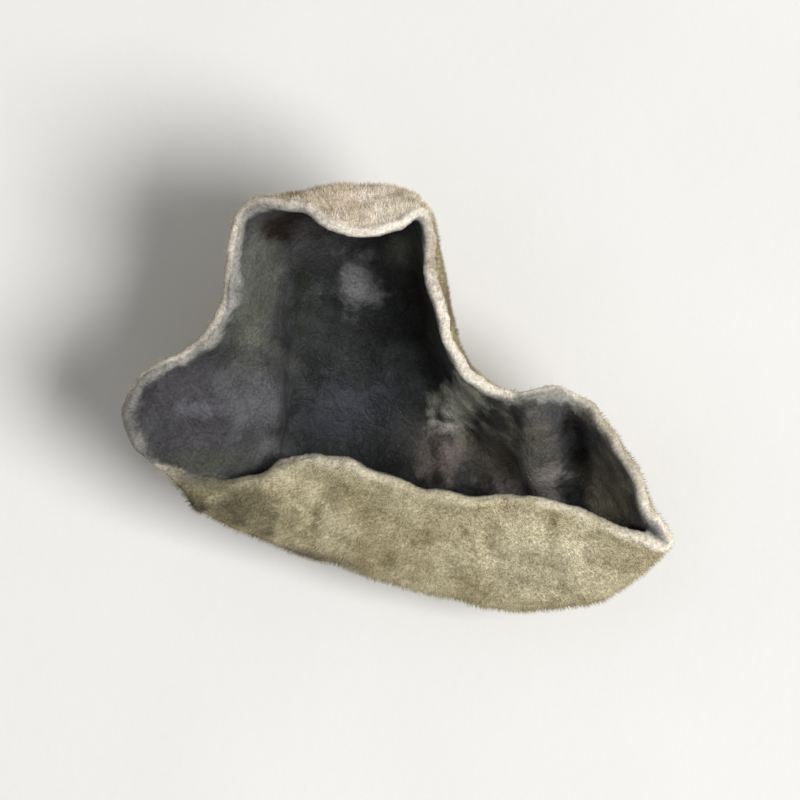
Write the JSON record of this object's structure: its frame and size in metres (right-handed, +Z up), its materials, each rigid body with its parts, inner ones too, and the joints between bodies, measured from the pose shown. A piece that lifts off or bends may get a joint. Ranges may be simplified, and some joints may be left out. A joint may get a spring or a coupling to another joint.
{
  "type": "dried wood ear mushroom",
  "caption": "Small dried wood ear: a cupped, lobed sheet of fungus with a dark smooth inside, a pale felted outside, an incurved front wall and a raised tongue at the back.",
  "frame": {"origin": "middle of the flat cut across the attachment stub, on the surface that the mushroom rests on", "axes": "+Z up out of the cut; +X towards the pointed lobe, along the longest side; +Y from the incurved front wall towards the raised tongue; -Z is the direction that the cut faces"},
  "size_m": [0.0134, 0.0104, 0.007],
  "materials": {
    "fruit_body": "dull felt outside, smooth dusty slate inside"
  },
  "bodies": {
    "root": {"fruit_body": "fruit_body"}
  },
  "joints": []
}
